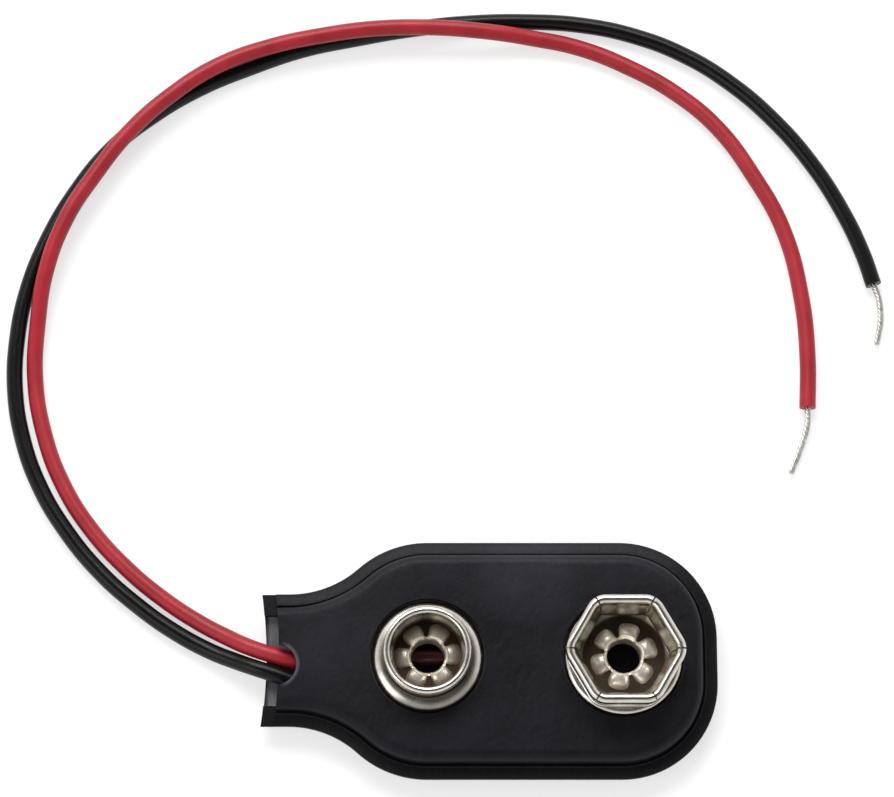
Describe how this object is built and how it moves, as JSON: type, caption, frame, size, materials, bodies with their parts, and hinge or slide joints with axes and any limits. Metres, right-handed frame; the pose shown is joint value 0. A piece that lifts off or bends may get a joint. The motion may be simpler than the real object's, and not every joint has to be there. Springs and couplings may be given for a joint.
{
  "type": "battery snap connector",
  "caption": "Battery snap connector: a soft vinyl cover over a round stud and a hexagonal socket, with a red and a black lead ending in tinned wire.",
  "frame": {"origin": "on the back face, midway between the two contacts", "axes": "+X from the stud to the socket, away from the leads; +Z out of the contact face; the back face lies on Z = 0"},
  "size_m": [0.0588, 0.0532, 0.0061],
  "materials": {
    "black_vinyl": "soft dark blue-black vinyl with a faint leather grain",
    "fibre_board": "smooth black fibre board",
    "contact_plating": "satin nickel-plated brass",
    "eyelet_plating": "bright nickel-plated eyelet",
    "tag_brass": "tinned brass strip",
    "solder": "grey satin solder",
    "tinned_wire": "bright tinned strands",
    "black_insulation": "glossy black PVC",
    "red_insulation": "semi-gloss red PVC"
  },
  "bodies": {
    "root": {"front_cover": "black_vinyl", "back_cover": "black_vinyl", "insulator_board": "fibre_board", "stud_contact": "contact_plating", "socket_contact": "contact_plating", "stud_eyelet": "eyelet_plating", "socket_eyelet": "eyelet_plating", "stud_tag": "tag_brass", "socket_tag": "tag_brass", "stud_solder": "solder", "socket_solder": "solder", "black_inner_end": "tinned_wire", "red_inner_end": "tinned_wire", "black_lead": "black_insulation", "red_lead": "red_insulation", "black_bare_end": "tinned_wire", "red_bare_end": "tinned_wire"}
  },
  "joints": []
}
